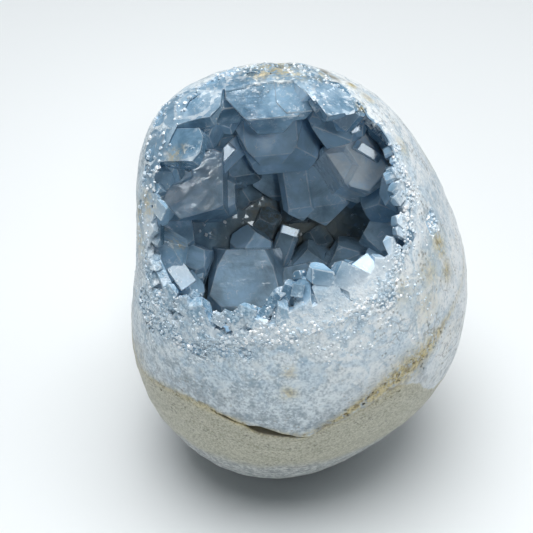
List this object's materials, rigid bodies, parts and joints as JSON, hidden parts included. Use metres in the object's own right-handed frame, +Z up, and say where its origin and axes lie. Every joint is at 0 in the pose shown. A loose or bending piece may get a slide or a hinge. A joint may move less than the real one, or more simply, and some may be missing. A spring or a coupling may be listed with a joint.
{
  "type": "celestite geode",
  "caption": "Polished egg-shaped celestite geode standing on a small flat spot, with an open front pocket lined by blocky pale blue crystals.",
  "frame": {"origin": "middle of the small flat spot that the geode stands on", "axes": "+Z up along the egg's long axis, -Y towards the open pocket, +X to the right seen from the front"},
  "size_m": [0.0896, 0.0917, 0.1164],
  "materials": {
    "stone": "ground and satin polished, mottled blue-white above, tan and grey banded below",
    "crystal": "clear to milky pale blue crystal with flat glossy faces"
  },
  "bodies": {
    "root": {"geode_shell": "stone", "crystal_crust": "crystal"}
  },
  "joints": []
}
